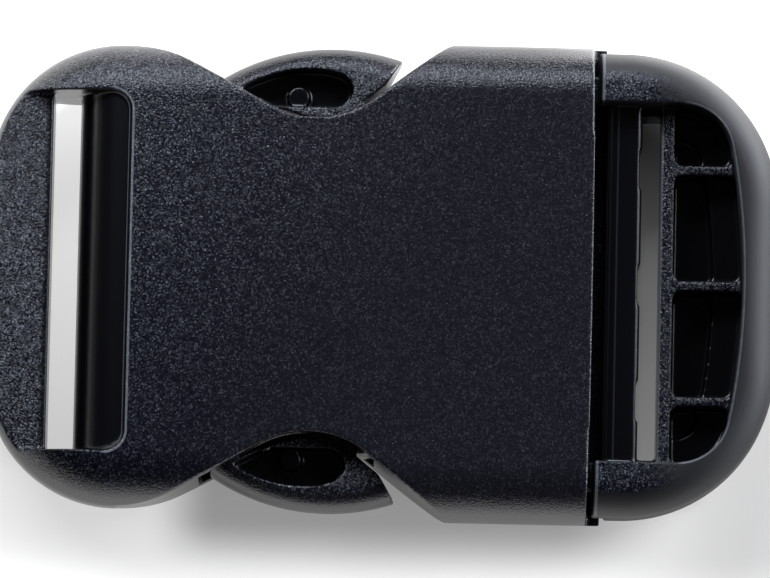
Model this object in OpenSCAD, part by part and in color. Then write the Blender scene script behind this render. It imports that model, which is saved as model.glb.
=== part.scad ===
// Side release buckle for 38 mm webbing, fastened: a socket and a plug, each one moulding.
// +X points from the socket to the plug, +Y across the webbing, +Z up. Both halves mirror
// in the XZ plane, and apart from the mouth's lip and the ladder in the plane at mid height.
// Millimetres.

/* [Webbing] */
// Length of the strap slots, 2 mm more than the webbing's width
slot_len = 40.2; // [38.5:0.1:40.6]
// Depth from the socket's faces to the fixed strap bar
strap_bar_depth = 3.1; // [2.6:0.1:3.6]
// Depth from the frame's faces to the ladder bar and its ribs
ladder_depth = 3.2; // [2.6:0.1:3.6]

/* [Socket] */
// Thickness of the socket
socket_h = 13; // [12.6:0.1:13.6]
// Radius of the socket's rolled edge
socket_roll = 6; // [5:0.1:6.2]
// Thickness of the top and bottom plates
plate_t = 2.6; // [2.3:0.1:2.7]
// Half width of the socket across its lobes
lobe_half = 26; // [25.7:0.1:26.4]
// Half width of the socket at its mouth
mouth_half = 26.8; // [26.6:0.1:27.2]
// Radius of the lobes in plan
lobe_r = 14.8; // [14.4:0.1:15.4]
// Length of the socket from its strap bar to the middle of the mouth's edge
socket_len = 67.5; // [67:0.1:68]
// How far the mouth's edge bows out at its middle
mouth_bow = 0.25; // [0.2:0.05:0.6]
// How far the bottom plate and the mouth's lower corners reach past its edge
lip_len = 1.3; // [0.8:0.1:1.4]
// Width of the fixed strap bar
strap_bar_w = 7; // [6.5:0.1:7.4]
// Distance from the outer edge of the strap bar to the edge of the top plate
recess_w = 15.7; // [15.4:0.1:16.2]
// Radius of the bullnose wall between the strap slot and the chamber
nose_r = 6.2; // [5.8:0.1:6.2]

/* [Waist] */
// Half width of the socket at the bottom of its waist
waist_half = 17.6; // [17.3:0.1:17.8]
// Distance from the bottom of the waist to the mouth's edge
waist_back = 31.3; // [30.7:0.1:31.8]
// Radius at the bottom of the waist
waist_r = 10.8; // [10:0.1:11.6]
// Slope of the waist's flank towards the lobe, in degrees
lobe_slope = 30.5; // [29.5:0.1:31.5]
// Slope of the waist's flank that the plug locks against, in degrees
lock_slope = 38.6; // [37.5:0.1:39.5]

/* [Plug frame] */
// Thickness of the frame
frame_h = 12; // [11.4:0.1:12.4]
// Radius of the frame's rolled edge
frame_roll = 3.8; // [3.4:0.1:4.2]
// Half width of the frame
frame_half = 26; // [25.7:0.1:26.4]
// Distance from the mouth's edge to the far end of the frame
frame_len = 20.5; // [20.3:0.1:21]
// Gap between the mouth's edge and the frame's faces
frame_gap = 0.6; // [0.6:0.05:1]
// Gap between the mouth's edge and the frame at mid height
frame_gap_mid = 0.3; // [0.3:0.05:0.6]
// Radius of the frame's outer corners in plan
frame_corner_r = 17; // [16.4:0.1:17.4]
// Radius of the bowed end of the frame's window in plan
window_r = 81; // [60:1:100]
// Width of the frame's end at its middle
end_w = 3.8; // [3.7:0.05:4.4]
// Width of the crossbar that the webbing turns round
crossbar_w = 4.2; // [4:0.1:4.4]
// Height of the crossbar
crossbar_h = 6.2; // [5.6:0.1:6.6]
// Width of the ladder bar
ladder_w = 1.6; // [1.4:0.1:1.8]
// Width of the ribs behind the ladder bar
rib_w = 1.2; // [1:0.1:1.4]
// Distance between the ribs
rib_pitch = 13; // [12.6:0.1:13.2]

/* [Spring arms] */
// Height of the base, the arms and the finger pads
arm_h = 7.2; // [6.8:0.1:7.2]
// Thickness of the arms
arm_t = 2.6; // [2.2:0.1:2.8]
// Half width of the buckle across the finger pads
pad_half = 26.1; // [25.9:0.1:26.4]
// Radius of a finger pad's outer edge in plan
pad_r = 23.6; // [23.2:0.1:24]
// Radius of a finger pad's rolled edge
pad_roll = 3; // [2.4:0.1:3.3]
// Depth of the pockets in the finger pads
pad_pocket = 2.9; // [1.6:0.1:3]
// Clearance between the plug and the socket
clearance = 0.3; // [0.25:0.05:0.35]

/* [Hidden] */
$fn = 96;
past = 1; // how far a cutter runs past the face it cuts

// Places along X
length = socket_len + frame_len;
end_x = -length / 2;
mouth_x = end_x + socket_len;
far_x = length / 2;
mid_z = socket_h / 2;

// Socket
lobe_at = [end_x + lobe_r, lobe_half - lobe_r];
plate_x = end_x + recess_w;
bar_x = end_x + strap_bar_w;
recess_r = 2.2;
nose_x = plate_x + 0.45;
lock_half = 20.3; // half width of the chamber between the lock flanks
mouth_in = 23.5; // half width of the chamber in the mouth
mouth_depth = 5.2;
window_x = plate_x + 8.4; // face of the lobe that the pad's tip points at
window_half = 24.5;
lip_half = 20.6;
lip_h = 6;
mouth_r = (pow(mouth_half, 2) + pow(mouth_bow, 2)) / (2 * mouth_bow);

// Waist, as the two flanks, tangent to the round bottom and to the lobe
wall_r = lobe_r - 0.1; // the waist's wall starts as a thin flat on the lobe's rolled edge
waist_at = [mouth_x - waist_back, waist_half + waist_r];
lobe_end = lobe_at + wall_r * [sin(lobe_slope), cos(lobe_slope)];
flank_a = waist_at - waist_r * [sin(lobe_slope), cos(lobe_slope)];
flank_b = waist_at + waist_r * [sin(lock_slope), -cos(lock_slope)];
flank_end = flank_b + 14 / cos(lock_slope) * [cos(lock_slope), sin(lock_slope)];

// Frame
frame_x = mouth_x + frame_gap;
frame_mid_x = mouth_x + frame_gap_mid;
lip_room_x = mouth_x + lip_len + 0.45;
frame_z = mid_z - frame_h / 2;
corner_at = [far_x - frame_corner_r, frame_half - frame_corner_r];
rim_w = 6.5; // depth of the rolled rim before the window is cut
window_corner_r = 5.8;
window_c = far_x - end_w - window_r;
window_corner_y = slot_len / 2 - window_corner_r;
window_corner_x = window_c + sqrt(pow(window_r - window_corner_r, 2) - pow(window_corner_y, 2));

// Bars across the frame, and the slots beside them
inner_slot_w = 1.6;
base_x = mouth_x - 0.5;
crossbar_x = base_x + inner_slot_w;
ladder_x = crossbar_x + crossbar_w + 2.1;
pocket_x = ladder_x + ladder_w;
pocket_r = 1; // rounding of a pocket's corners
ledge_w = 3.2; // ledge between a pocket and the frame's end
ledge_depth = 3; // depth of the ledge below the ribs
floor_t = 1.1; // floor of the pockets
bar_nose = 1.2; // rounding of the crossbar's edges beside the mouth
bar_edge = 0.6; // rounding of its edges beside the ladder bar
relief = 0.3; // depth of the crossbar's reliefs, one facing each rib
relief_w = 4.6;
slot_end = 0.75; // step at each end of the slot beside the ladder bar

// Base, arms and pads
base_half = lock_half - clearance;
base_len = 6.1;
shoulder_half = mouth_in - clearance;
shoulder_len = base_x - mouth_x + mouth_depth - clearance;
arm_half = lock_half - 0.7;
lock_gap = 0.8; // between the pad's shoulder and the socket's lock flank
lock_line = flank_b + lock_gap * [-sin(lock_slope), cos(lock_slope)];
shoulder_y = 21.9; // where the shoulder leaves the flank
shoulder_x = lock_line.x + (shoulder_y - lock_line.y) / tan(lock_slope);
heel_x = lock_line.x + (arm_half - lock_line.y) / tan(lock_slope);
pad_at = [mouth_x - 29.2, pad_half - pad_r];
pad_tip_x = window_x + 1.2;
guide_half = 2;
guide_h = 5.2;
guide_len = 28;

// Section of a flat moulding with a rolled edge at +X, from the inside out to depth
module roll_section(depth, h, r) {
    square([depth - r, h]);
    translate([depth - r, r]) square([r, h - 2 * r]);
    for (z = [r, h - r]) translate([depth - r, z]) circle(r);
}

// Rolled edge along X, facing +Y
module roll_side(x0, x1, y, depth, h, r) {
    translate([x0, y - depth, 0]) rotate([90, 0, 90])
        linear_extrude(x1 - x0) roll_section(depth, h, r);
}

// Rolled edge across the buckle, facing +X
module roll_end(x, half, depth, h, r) {
    translate([x - depth, half, 0]) rotate([90, 0, 0])
        linear_extrude(2 * half) roll_section(depth, h, r);
}

// Rolled quarter round a point, from +X to +Y
module roll_corner(at, radius, depth, h, r) {
    translate(at) rotate_extrude(angle = 90)
        translate([radius - depth, 0]) roll_section(depth, h, r);
}

// What lies on both sides of the XZ plane
module both_sides() {
    children();
    mirror([0, 1, 0]) children();
}

// What lies above and below mid height
module both_faces() {
    children();
    translate([0, 0, socket_h]) mirror([0, 0, 1]) children();
}

// Box centred across the buckle and at mid height
module mid_box(x0, x1, half, h) {
    translate([x0, -half, mid_z - h / 2]) cube([x1 - x0, 2 * half, h]);
}

// Socket before it is cut: rolled all round apart from the mouth
module socket_blank() {
    inner = lobe_at.y;
    waist_x = waist_at.x;
    lip_x = mouth_x + lip_len;
    mirror([1, 0, 0]) {
        roll_end(-end_x, inner, lobe_r, socket_h, socket_roll);
        both_sides()
            roll_corner([-lobe_at.x, inner], lobe_r, lobe_r, socket_h, socket_roll);
    }
    translate([lobe_at.x, -inner, 0]) cube([lip_x - lobe_at.x, 2 * inner, socket_h]);
    both_sides() {
        roll_side(lobe_at.x, waist_x, lobe_half, lobe_r, socket_h, socket_roll);
        roll_side(waist_x, lip_x, mouth_half, mouth_half - inner, socket_h, socket_roll);
    }
}

// Plan of what the waist takes away on one side
module waist_plan() {
    outside = 2 * mouth_half;
    difference() {
        polygon([[lobe_at.x, outside], [lobe_at.x, lobe_at.y + wall_r / 2], lobe_end, flank_a,
            flank_b, flank_end, [flank_end.x, outside]]);
        translate(lobe_at) circle(wall_r);
    }
    translate(waist_at) circle(waist_r);
}

// Plan of the recess beside the top plate, from x0 to its round corners
module recess_plan(x0) {
    translate([x0, -slot_len / 2 + recess_r])
        square([plate_x - x0, slot_len - 2 * recess_r]);
    translate([x0, -slot_len / 2]) square([plate_x - recess_r - x0, slot_len]);
    for (y = [-1, 1]) translate([plate_x - recess_r, y * (slot_len / 2 - recess_r)])
        circle(recess_r);
}

// Space that the plug's base, arms and guide go into
module chamber() {
    h = socket_h - 2 * plate_t;
    mid_box(nose_x, mouth_x + lip_len + past, lock_half, h);
    mid_box(mouth_x - mouth_depth, mouth_x + lip_len + past, mouth_in, h);
    mid_box(window_x, waist_at.x - 4, window_half, h);
    translate([nose_x, lock_half, mid_z]) rotate([90, 0, 0]) cylinder(h = 2 * lock_half, d = h);
}

// What is cut off at the mouth: its edge is bowed above the bottom plate and the lower corners,
// which reach further as a lip
module mouth_end() {
    difference() {
        translate([0, 0, -past]) linear_extrude(socket_h + 2 * past) difference() {
            translate([mouth_x - past, -mouth_half - past])
                square([lip_len + 2 * past, 2 * (mouth_half + past)]);
            translate([mouth_x - mouth_r, 0]) circle(mouth_r, $fn = 720);
        }
        translate([mouth_x - 2 * past, -mouth_half - 2 * past, -2 * past])
            cube([lip_len + 4 * past, 2 * mouth_half + 4 * past, plate_t + 2 * past]);
        both_sides() translate([mouth_x - 2 * past, lip_half, -2 * past])
            cube([lip_len + 4 * past, mouth_half, lip_h + 2 * past]);
    }
}

module socket() {
    color([0.07, 0.07, 0.08]) {
        difference() {
            socket_blank();
            translate([0, 0, -past]) linear_extrude(socket_h + 2 * past) both_sides() waist_plan();
            both_faces() translate([0, 0, socket_h - strap_bar_depth])
                linear_extrude(strap_bar_depth + past) recess_plan(end_x - past);
            translate([0, 0, -past]) linear_extrude(socket_h + 2 * past) recess_plan(bar_x);
            chamber();
            mouth_end();
        }
        // Bullnose wall, hollowed by the chamber
        difference() {
            translate([nose_x, slot_len / 2 + past, mid_z]) rotate([90, 0, 0])
                cylinder(h = slot_len + 2 * past, r = nose_r);
            chamber();
            mid_box(nose_x, nose_x + nose_r + past, slot_len, socket_h);
        }
    }
}

// Plan of the frame's window, up to its bowed end
module window_plan(inset = 0) {
    edge = slot_len / 2 - inset;
    r = window_corner_r - inset;
    translate([frame_x - past, -edge]) square([window_corner_x - frame_x + past, 2 * edge]);
    for (y = [-1, 1]) translate([window_corner_x, y * window_corner_y]) circle(r);
    far = 2 * window_r;
    intersection() {
        translate([window_c, 0]) circle(window_r - inset, $fn = 360);
        polygon([[window_c, 0], [window_c + far, -far * window_corner_y / (window_corner_x - window_c)],
            [window_c + far, far * window_corner_y / (window_corner_x - window_c)]]);
    }
}

// Rolled U of the frame, from the mouth round the far end
module frame_blank() {
    translate([0, 0, frame_z]) {
        roll_end(far_x, corner_at.y, rim_w, frame_h, frame_roll);
        both_sides() {
            roll_side(frame_mid_x, corner_at.x, frame_half, rim_w, frame_h, frame_roll);
            roll_corner(corner_at, frame_corner_r, rim_w, frame_h, frame_roll);
        }
    }
}

// What is cut off at the rails' ends: they lean back from mid height, above the mouth's lip
module rail_ends() {
    from_x = frame_mid_x - past;
    room_z = lip_h + clearance;
    translate([0, frame_half + past, 0]) rotate([90, 0, 0]) linear_extrude(2 * (frame_half + past))
        polygon([[from_x, -past], [lip_room_x, -past], [lip_room_x, room_z], [frame_mid_x, room_z],
            [frame_x, frame_z + frame_h], [frame_x, socket_h + past], [from_x, socket_h + past]]);
}

// Plan of one pocket behind the ladder bar, between two heights across the frame
module pocket_plan(y0, y1, inset) {
    r = pocket_r;
    edge_r = window_r - inset - r;
    intersection() {
        window_plan(inset);
        union() {
            translate([pocket_x, y0 + r]) square([far_x, y1 - y0 - 2 * r]);
            for (y = [y0 + r, y1 - r]) {
                far = window_c + sqrt(edge_r * edge_r - y * y);
                translate([pocket_x + r, y]) circle(r);
                translate([far, y]) circle(r);
                translate([pocket_x + r, y - r]) square([far - pocket_x - r, 2 * r]);
            }
        }
    }
}

// Ladder bar, its ribs and the pockets between them, open upwards
module ladder() {
    h = frame_h - 2 * ladder_depth;
    side = slot_len / 2;
    top_z = mid_z + h / 2;
    spans = [for (i = [-2:1])
        [max(i * rib_pitch + rib_w / 2, -side), min((i + 1) * rib_pitch - rib_w / 2, side)]];
    difference() {
        translate([0, 0, mid_z - h / 2]) linear_extrude(h) intersection() {
            window_plan(-past / 2);
            translate([ladder_x, -frame_half]) square([far_x, 2 * frame_half]);
        }
        for (s = spans) {
            translate([0, 0, top_z - ledge_depth]) linear_extrude(ledge_depth + past)
                pocket_plan(s[0], s[1], 0);
            translate([0, 0, mid_z - h / 2 + floor_t]) linear_extrude(h)
                pocket_plan(s[0], s[1], ledge_w);
        }
    }
    both_sides() translate([crossbar_x + crossbar_w / 2, side - slot_end, frame_z])
        cube([ladder_x - crossbar_x - crossbar_w / 2 + ladder_w, slot_end + past, frame_h / 2]);
}

// Section of the crossbar, from its edges beside the mouth to those beside the ladder bar
module crossbar_section() {
    h = crossbar_h;
    translate([0, bar_nose - h / 2]) square([crossbar_w, h - 2 * bar_nose]);
    translate([bar_nose, -h / 2]) square([crossbar_w - bar_nose - bar_edge, h]);
    translate([bar_nose, bar_edge - h / 2]) square([crossbar_w - bar_nose, h - 2 * bar_edge]);
    for (z = [-1, 1]) {
        translate([bar_nose, z * (h / 2 - bar_nose)]) circle(bar_nose);
        translate([crossbar_w - bar_edge, z * (h / 2 - bar_edge)]) circle(bar_edge);
    }
}

// Crossbar with flat faces and round edges, and a shallow relief facing each rib
module crossbar() {
    span = slot_len + 2 * past;
    difference() {
        translate([crossbar_x, span / 2, mid_z]) rotate([90, 0, 0])
            linear_extrude(span) crossbar_section();
        for (i = [-1:1])
            translate([crossbar_x + crossbar_w - relief, i * rib_pitch - relief_w / 2, 0])
                cube([relief + past, relief_w, socket_h]);
    }
}

// Plan of one finger pad: its shoulder stands a lock gap away from the socket's flank
module pad_plan() {
    polygon([[shoulder_x + 3.2, pad_half + past], [shoulder_x, shoulder_y], [heel_x, arm_half],
        [heel_x + arm_t, arm_half - arm_t], [pad_at.x, arm_half - arm_t],
        [pad_tip_x, shoulder_y - 0.7], [pad_tip_x, pad_half + past]]);
}

// Plan of the pocket in a finger pad: round outside, straight towards the socket
module pad_pocket_plan() {
    r = 14.6;
    at = [pad_at.x - 2.6, 8.8];
    round_r = 1.9;
    round_x = pad_at.x + 0.1;
    low = 19.2;
    intersection() {
        translate(at) circle(r);
        polygon([[round_x, low], [at.x - 4, low], [at.x - 8.5, low + 2.2], [at.x - 8.5, 24],
            [round_x, 24]]);
    }
    translate([round_x, low + round_r]) circle(round_r);
}

// One spring arm with its pad
module arm() {
    post_at = [pad_at.x - 4, 20.4];
    post_r = 1.2;
    post_low = 1.6; // depth of the post's end below the pad's face
    z0 = mid_z - arm_h / 2;
    pocket_z = mid_z + arm_h / 2 - pad_pocket;
    translate([heel_x, arm_half - arm_t, z0])
        cube([base_x - base_len + past - heel_x, arm_t, arm_h]);
    difference() {
        intersection() {
            translate([0, 0, z0]) linear_extrude(arm_h) pad_plan();
            translate([pad_at.x, pad_at.y, z0]) rotate_extrude() roll_section(pad_r, arm_h, pad_roll);
        }
        both_faces() translate([0, 0, pocket_z]) linear_extrude(pad_pocket + past)
            pad_pocket_plan();
    }
    both_faces() translate([post_at.x, post_at.y, pocket_z - past / 4])
        cylinder(h = pad_pocket - post_low + past / 4, r = post_r, $fn = 48);
}

// Base in the mouth, its shoulders under the rails, and the guide down the middle
module base() {
    mid_box(base_x - base_len, base_x, base_half, arm_h);
    mid_box(base_x - shoulder_len, base_x, shoulder_half, arm_h);
    both_sides() translate([base_x - past, slot_len / 2, mid_z - arm_h / 2])
        cube([frame_x - base_x + 3, shoulder_half - slot_len / 2, arm_h]);
    guide_x = base_x - base_len;
    mid_box(guide_x - guide_len, guide_x + past, guide_half, guide_h);
    translate([guide_x - guide_len, 0, mid_z - guide_h / 2]) cylinder(h = guide_h, r = guide_half);
}

module plug() {
    color([0.08, 0.08, 0.09]) {
        difference() {
            frame_blank();
            translate([0, 0, -past]) linear_extrude(socket_h + 2 * past) window_plan();
            rail_ends();
        }
        ladder();
        crossbar();
        base();
        both_sides() arm();
    }
}

socket();
plug();
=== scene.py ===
"""A fastened side release buckle in black moulded plastic, on a pale studio floor."""
import math
import bpy
import bmesh
from mathutils import Matrix, Vector


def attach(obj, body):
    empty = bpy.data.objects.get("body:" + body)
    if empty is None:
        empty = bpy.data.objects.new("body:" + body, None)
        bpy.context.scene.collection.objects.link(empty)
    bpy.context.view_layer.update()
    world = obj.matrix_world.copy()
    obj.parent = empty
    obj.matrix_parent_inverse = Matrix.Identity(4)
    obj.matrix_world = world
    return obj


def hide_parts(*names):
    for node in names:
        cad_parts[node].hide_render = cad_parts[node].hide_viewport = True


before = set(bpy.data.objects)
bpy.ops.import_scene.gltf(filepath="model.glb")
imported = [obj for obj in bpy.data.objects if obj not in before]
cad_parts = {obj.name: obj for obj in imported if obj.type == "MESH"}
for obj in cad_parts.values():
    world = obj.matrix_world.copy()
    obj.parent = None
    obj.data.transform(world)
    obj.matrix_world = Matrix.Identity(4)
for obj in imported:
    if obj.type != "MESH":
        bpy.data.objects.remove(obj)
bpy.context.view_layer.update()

# The socket is one black acetal moulding: two plates with a squeezed waist between the lobes
# and the mouth. The mould's faces are etched with a fine leather grain, the edges come out of
# it with small even fillets, and its two halves part at mid height.
MM = 0.001
parting_height = 6.5
seam = 0.002 * MM
fillet_rounds = 6


def moulded(node, name, voxel, kept_faces):
    """A node's form with the fillets that its mould has, as a new piece that replaces it."""
    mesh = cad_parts[node].data.copy()
    mesh.name = name
    form = bmesh.new()
    form.from_mesh(mesh)
    bmesh.ops.remove_doubles(form, verts=form.verts, dist=seam)
    form.to_mesh(mesh)
    form.free()
    piece = bpy.data.objects.new(name, mesh)
    bpy.context.scene.collection.objects.link(piece)
    mesh.materials.clear()
    skin = piece.modifiers.new("skin", "REMESH")
    skin.mode = "VOXEL"
    skin.voxel_size = voxel
    fillets = piece.modifiers.new("fillets", "SMOOTH")
    fillets.factor = 0.5
    fillets.iterations = fillet_rounds
    thin = piece.modifiers.new("thin", "DECIMATE")
    thin.ratio = kept_faces
    shown = piece.evaluated_get(bpy.context.evaluated_depsgraph_get())
    finished = bpy.data.meshes.new_from_object(shown)
    piece.modifiers.clear()
    piece.data = finished
    finished.name = name
    finished.shade_smooth()
    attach(piece, "root")
    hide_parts(node)
    return piece


class Sock:
    """A shader socket that Python's operators work on."""

    def __init__(self, tree, socket):
        self.tree = tree
        self.socket = socket

    def _math(self, operation, *values):
        node = self.tree.nodes.new("ShaderNodeMath")
        node.operation = operation
        for place, value in zip(node.inputs, values):
            if isinstance(value, Sock):
                self.tree.links.new(value.socket, place)
            else:
                place.default_value = value
        return Sock(self.tree, node.outputs[0])

    def __add__(self, other):
        return self._math("ADD", self, other)

    def __radd__(self, other):
        return self._math("ADD", other, self)

    def __sub__(self, other):
        return self._math("SUBTRACT", self, other)

    def __rsub__(self, other):
        return self._math("SUBTRACT", other, self)

    def __mul__(self, other):
        return self._math("MULTIPLY", self, other)

    def __rmul__(self, other):
        return self._math("MULTIPLY", other, self)

    def size(self):
        """The value without its sign."""
        return self._math("ABSOLUTE", self)

    def more(self, least):
        """The value, or the least one where it is below that."""
        return self._math("MAXIMUM", self, least)

    def root(self):
        return self._math("SQRT", self)

    def ramp(self, low, high):
        """0 below low and 1 above high, with a soft step between."""
        node = self.tree.nodes.new("ShaderNodeMapRange")
        node.interpolation_type = "SMOOTHSTEP"
        node.inputs["From Min"].default_value = low
        node.inputs["From Max"].default_value = high
        self.tree.links.new(self.socket, node.inputs["Value"])
        return Sock(self.tree, node.outputs["Result"])

    def between(self, low, first, last, high):
        """1 from first to last, and 0 below low and above high."""
        return self.ramp(low, first) * (1 - self.ramp(last, high))

    def band(self, middle, half):
        """1 near the middle, and 0 from half on either side."""
        return 1 - (self - middle).size().ramp(half * 0.5, half)


class Finish:
    """A material with one Principled shader, and the nodes that vary it."""

    def __init__(self, name):
        self.material = bpy.data.materials.new(name)
        self.material.use_nodes = True
        self.tree = self.material.node_tree
        self.shader = self.tree.nodes["Principled BSDF"]

    def _fill(self, node, values):
        """Numbers and colours go on the node's own sockets, and what varies is linked."""
        for key, value in values.items():
            place = node.inputs[key.replace("_", " ")]
            if isinstance(value, Sock):
                self.tree.links.new(value.socket, place)
            else:
                place.default_value = value

    def set(self, **values):
        """The values or links of the shader's sockets."""
        self._fill(self.shader, values)

    def node(self, kind, settings=None, out=0, **values):
        """One node: its settings first, then the values or links of its sockets."""
        made = self.tree.nodes.new(kind)
        for key, value in (settings or {}).items():
            setattr(made, key, value)
        self._fill(made, values)
        return Sock(self.tree, made.outputs[out])

    def blend(self, factor, first, second):
        """A colour between two, each a socket or three numbers."""
        colour_a, colour_b, colour_out = 6, 7, 2
        mixed = self.node("ShaderNodeMix", {"data_type": "RGBA"}, out=colour_out, Factor=factor)
        for place, colour in ((colour_a, first), (colour_b, second)):
            socket = mixed.socket.node.inputs[place]
            if isinstance(colour, Sock):
                self.tree.links.new(colour.socket, socket)
            else:
                socket.default_value = (*colour, 1.0)
        return mixed

    def coordinate(self, name):
        """Where a point is on the piece, or which way its surface faces."""
        return Sock(self.tree, self.tree.nodes.new("ShaderNodeTexCoord").outputs[name])

    def parts(self, vector):
        """The three parts of a vector or of a colour."""
        split = self.tree.nodes.new("ShaderNodeSeparateXYZ")
        self.tree.links.new(vector.socket, split.inputs[0])
        return [Sock(self.tree, part) for part in split.outputs]

    def millimetres(self):
        """A point's x, y and z on the piece, in millimetres."""
        return [part * (1 / MM) for part in self.parts(self.coordinate("Object"))]


def black_plastic(name, grained):
    """Black acetal. grained(finish) says where the mould is etched, how far that grain is worn
    and lit by painted glints, where a painted highlight brightens an edge, all from 0 to 1, and
    the roughness of the rest."""
    smooth_black = (0.0020, 0.0020, 0.0030)
    etched_black = (0.0026, 0.0027, 0.0064)
    sheen_black = (0.0082, 0.0080, 0.0115)
    glint_grey = (0.16, 0.168, 0.190)
    highlight_grey = (0.15, 0.155, 0.17)
    finish = Finish(name)
    where = finish.coordinate("Object")
    x, _, z = finish.millimetres()
    etched, wear_and_glints, edge_highlights, polish = grained(finish)

    # The grain is cells of a fifth of a millimetre with finer pits. Each has its own gloss, and
    # a few are painted glints, more of them where the grain is worn.
    cells = finish.node("ShaderNodeTexVoronoi", {"feature": "F1"}, Vector=where, Scale=5600.0)
    pits = finish.node("ShaderNodeTexNoise", Vector=where, Scale=4400.0, Detail=1.0)
    orange_peel = finish.node("ShaderNodeTexNoise", Vector=where, Scale=700.0, Detail=2.0)
    gloss, fleck, _ = finish.parts(Sock(finish.tree, cells.socket.node.outputs["Color"]))
    rare = fleck * fleck * fleck
    glint_flecks = rare * rare * etched * (wear_and_glints * 0.70 + 0.14)

    grain = (pits - cells * 0.6) * etched * (wear_and_glints * 0.4 + 0.5)
    parting_line = 1 - (z - parting_height).size().ramp(0.0, 0.12)
    height = grain + orange_peel * 0.1 + parting_line * 0.5
    bump = finish.node("ShaderNodeBump", Height=height, Strength=1.0, Distance=0.09 * MM)
    roughness = finish.node("ShaderNodeMix", {"data_type": "FLOAT"}, Factor=etched, A=polish,
                            B=gloss * 0.18 + 0.11)

    # Painted sheen: the etched faces between the strap bar and the mouth get a lighter black, rising
    # from the strap bar to the middle and full on to the mouth, in place of light on the plate.
    plate_sheen = x.between(-34.0, 4.0, 23.9, 24.0)
    tint = finish.blend(etched, smooth_black, finish.blend(plate_sheen, etched_black, sheen_black))
    # Painted glints: the rarest cells of the etched grain are light grey.
    tint = finish.blend(glint_flecks, tint, glint_grey)
    # Painted highlights: light grey lines along the edges that the lights would catch.
    tint = finish.blend(edge_highlights, tint, highlight_grey)
    finish.set(Base_Color=tint, Roughness=roughness, Normal=bump, IOR=1.48)
    return finish.material


def past_corner(x, y, corner_x, corner_y):
    """How far a point lies beyond a rectangle whose corners are there and mirrored in y."""
    past_x = (x - corner_x).more(0.0)
    past_y = (y.size() - corner_y).more(0.0)
    return (past_x * past_x + past_y * past_y).root()


def socket_grain(finish):
    """The plates are etched, and the bullnose wall between the slot and the chamber is smooth.
    The grain is worn deeper on the strap bar and towards the lobe on the key light's side, and
    there a few light flecks are painted glints. Two painted highlight lines brighten the
    bullnose's edge and the rim of the recess."""
    recess_corner = (-30.5, 17.9)
    bullnose_radius = 2.06
    rim_radius = 2.52
    x, y, z = finish.millimetres()
    facing_up = finish.parts(finish.coordinate("Normal"))[2].size()
    level = (z - parting_height).size()
    from_corner = past_corner(x, y, *recess_corner)
    bullnose = x.between(-38.0, -37.0, -28.0, -27.9) * (1 - from_corner.ramp(2.3, 2.4))
    etched = facing_up.ramp(0.3, 0.6) * (1 - bullnose)
    strap_bar = 1 - x.ramp(-38.0, -36.0)
    # Painted glints and deeper grain grow towards the top-left lobe, on the key light's side.
    toward_key_lobe = (y * 0.6 - x).ramp(-5.0, 45.0)
    wear_and_glints = strap_bar * 0.55 + toward_key_lobe * 0.6
    # Painted highlights: two thin light-grey lines, on the bullnose's edge and on the rim of the
    # recess.
    edge_highlights = from_corner.band(bullnose_radius, 0.07) * 0.5 + from_corner.band(rim_radius, 0.16) * 0.8
    edge_highlights = edge_highlights * level.ramp(5.4, 5.7) * x.ramp(-31.0, -29.8)
    return etched, wear_and_glints, edge_highlights, 0.25


socket = moulded("socket", "socket_moulding", 0.2 * MM, 0.25)
socket.data.materials.append(black_plastic("etched_black_plastic", socket_grain))

# The plug is one black acetal moulding too: a rolled frame round the crossbar and the ladder
# bar, and behind them the base with the guide and the two spring arms. Its flats are etched
# like the socket's, and its rolled edges are left smooth, so that webbing and fingers slide.


def plug_grain(finish):
    """The pads, the ladder and the rails' flats are etched, the crossbar and the frame's far end
    are smooth, and the frame's roll is matt. The flats' grain is worn and carries painted glints,
    and painted highlights brighten the edges round the window, the ladder bar's edge, the rails'
    ends and a faint band on the crossbar."""
    window_corner = (33.03, 14.3)
    corner_radius = 5.92
    bow_centre = -40.8
    bow_radius = 81.12
    x, y, z = finish.millimetres()
    facing_up = finish.parts(finish.coordinate("Normal"))[2].size()
    level = (z - parting_height).size()

    pads = 1 - x.ramp(12.0, 16.0)
    rails = y.size().ramp(19.8, 20.3)
    flats = facing_up.ramp(0.86, 0.985)
    smooth_bars = x.between(16.0, 17.0, 29.2, 29.8) * (1 - rails)
    far_end = level.ramp(4.5, 5.5) * x.ramp(28.0, 35.0)
    etched = flats * (1 - pads) + facing_up.ramp(0.2, 0.5) * pads
    etched = etched * level.ramp(2.2, 2.6) * (1 - smooth_bars) * (1 - far_end)
    # Wear and painted glints on the flats, more on the pads.
    wear_and_glints = flats * (pads * 0.3 + 0.65)

    # The window ends in a wide bow, with a rounded corner at each side.
    from_bow = ((x - bow_centre) * (x - bow_centre) + y * y).root()
    from_corner = past_corner(x, y, *window_corner)
    at_corner = (y.size() - window_corner[1]).ramp(0.0, 0.4)
    window = (1 - from_bow.ramp(80.8, 81.0)) * (1 - at_corner * from_corner.ramp(5.6, 5.8))
    window = window * (1 - rails)
    roughness = x.ramp(20.0, 22.0) * (1 - window) * 0.36 + 0.22
    roughness = roughness + x.band(29.1, 0.5) * (1 - rails) * 0.3

    # Painted highlights: thin bright lines round the window, on the ladder bar's edge and the rails'
    # ends, and a faint band on the crossbar.
    bow_edge = from_bow.band(bow_radius, 0.16) * (1 - at_corner)
    corner_edge = from_corner.band(corner_radius, 0.16) * at_corner
    ladder_edge = x.band(31.0, 0.2) * (1 - rails)
    rail_end = x.band(24.3, 0.2) * rails
    crossbar_highlight = x.band(26.1, 0.12) * (1 - rails)
    edge_highlights = ((bow_edge + corner_edge) * x.ramp(33.0, 34.0) + ladder_edge + rail_end) * 0.6
    edge_highlights = (edge_highlights + crossbar_highlight * 0.1) * level.ramp(2.0, 2.3)
    return etched, wear_and_glints, edge_highlights, roughness


plug = moulded("plug", "plug_moulding", 0.18 * MM, 0.35)
plug.data.materials.append(black_plastic("satin_black_plastic", plug_grain))

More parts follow.
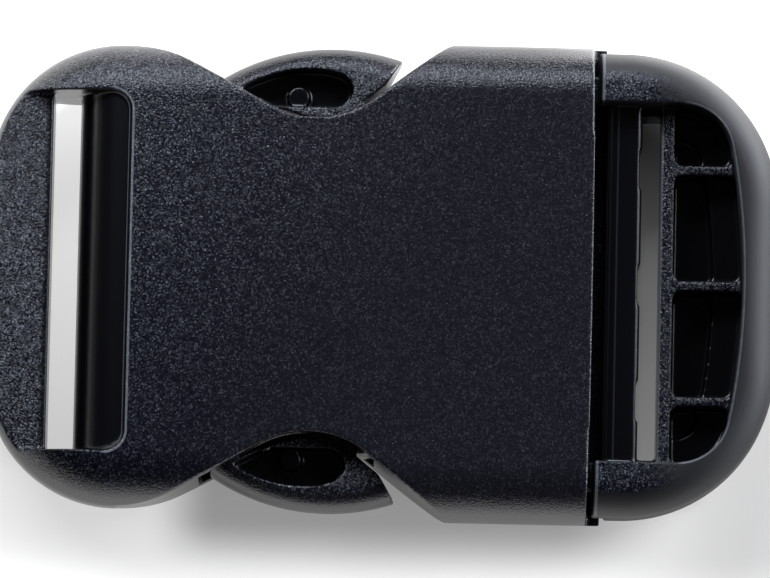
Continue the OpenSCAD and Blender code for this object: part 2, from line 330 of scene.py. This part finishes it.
# The buckle lies on its back on a studio floor of white paper, a flat sheet 3 m across. Its
# glow stands in for the light that a studio throws on paper: strong behind the buckle, faint
# in front of it and beside it, and fainter still through the two slots.
half_sheet = 1.5
sheet = bpy.data.meshes.new("studio_floor")
form = bmesh.new()
bmesh.ops.create_grid(form, x_segments=1, y_segments=1, size=half_sheet)
form.to_mesh(sheet)
form.free()
floor = bpy.data.objects.new("studio_floor", sheet)
bpy.context.scene.collection.objects.link(floor)
paper = Finish("white_paper")
x, y, _ = paper.millimetres()
in_front = x.between(-26.0, -18.0, 20.0, 34.0) * (1 - (y + 24.0).size().ramp(2.0, 9.0))
beside = x.between(22.0, 42.0, 50.0, 150.0)
behind = y.between(10.0, 60.0, 120.0, 300.0)
foreground = 1 - y.ramp(-42.0, -29.0)
pad_gap = y.between(15.0, 17.0, 22.0, 24.2) * x.between(-6.0, -4.0, 2.0, 4.0)
under_frame = x.between(16.0, 24.0, 32.0, 38.0) * (1 - y.size().ramp(22.0, 25.0))
under_slot = x.between(-46.0, -40.0, -34.0, -26.0) * (1 - y.size().ramp(18.0, 22.0))
glow = 0.61 - in_front * 0.36 - beside * 0.27 + x.ramp(50.0, 150.0) * 0.3
glow = glow + behind * (x.ramp(16.0, 36.0) * 8.0 + 1.5)
glow = glow * (1 - pad_gap * 0.95) + foreground * 0.7
glow = glow * (1 - under_frame) + under_frame * (0.08 - y * 0.004).more(0.0)
glow = glow + under_slot * y * 0.006
pool = paper.node("ShaderNodeCombineColor", Red=glow, Green=glow, Blue=glow)
paper.set(Base_Color=(0.54, 0.51, 0.465, 1.0), Roughness=0.9, Specular_IOR_Level=0.1)
paper.set(Emission_Color=pool, Emission_Strength=1.0)
sheet.materials.append(paper.material)

# The light is soft: a narrow box close behind and above draws the bright line along the rolls,
# three large ones far to the right light the frame, and a faint one fills the front. A dim sky
# is a little lighter round the horizon than overhead.


def softbox(name, place, wide, tall, radiance):
    """A soft light of even radiance that faces the buckle."""
    daylight = (0.90, 0.96, 1.08)
    lamp = bpy.data.lights.new(name, "AREA")
    lamp.shape = "RECTANGLE"
    lamp.size = wide
    lamp.size_y = tall
    lamp.energy = radiance * math.pi * wide * tall
    lamp.color = daylight
    holder = bpy.data.objects.new(name, lamp)
    bpy.context.scene.collection.objects.link(holder)
    turned = (-Vector(place)).to_track_quat("-Z", "Y").to_matrix().to_4x4()
    holder.matrix_world = Matrix.Translation(place) @ turned


softbox("key", (-0.10, 0.24, 0.235), 0.34, 0.075, 14.0)
softbox("right", (1.5, 0.2, 0.4), 1.8, 0.6, 7.0)
softbox("back_right", (1.2, 0.85, 0.33), 0.9, 0.4, 19.0)
softbox("right_high", (0.8, 0.4, 0.9), 0.5, 0.35, 8.0)
softbox("front", (0.0, -1.6, 0.1), 2.4, 0.2, 0.5)

horizon_light = 0.2
overhead_light = 0.015
studio = bpy.data.worlds.new("studio")
studio.use_nodes = True
bpy.context.scene.world = studio
nodes = studio.node_tree.nodes
sky = nodes["Background"]
rise = nodes.new("ShaderNodeSeparateXYZ")
studio.node_tree.links.new(nodes.new("ShaderNodeTexCoord").outputs["Generated"], rise.inputs[0])
upwards = Sock(studio.node_tree, rise.outputs["Z"]).ramp(0.08, 0.35)
strength = horizon_light - upwards * (horizon_light - overhead_light)
studio.node_tree.links.new(strength.socket, sky.inputs["Strength"])
sky.inputs["Color"].default_value = (1.0, 1.0, 1.0, 1.0)
bpy.context.scene.view_settings.view_transform = "Standard"

# The camera looks down on the buckle from the photograph's angle: a little from the front and
# turned a little, far enough away that a pixel is 0.111 mm at the height of the top faces.
image_width = 770
pixel = 0.111
sensor = 36.0
distance = 947.4
tilt = math.radians(7.168)
roll = math.radians(1.256)
target = Vector((0.39, -1.57, 13.0)) * MM
back = Vector((0.0, -math.sin(tilt), math.cos(tilt)))
right = Vector((1.0, 0.0, 0.0))
up = back.cross(right)
turned_right = right * math.cos(roll) + up * math.sin(roll)
turned_up = up * math.cos(roll) - right * math.sin(roll)
view = bpy.data.cameras.new("camera")
view.sensor_width = sensor
view.lens = sensor * distance / (pixel * image_width)
view.clip_start = 0.05
view.clip_end = 10.0
camera = bpy.data.objects.new("camera", view)
bpy.context.scene.collection.objects.link(camera)
turn = Matrix((turned_right, turned_up, back)).transposed().to_4x4()
camera.matrix_world = Matrix.Translation(target + back * distance * MM) @ turn
bpy.context.scene.camera = camera
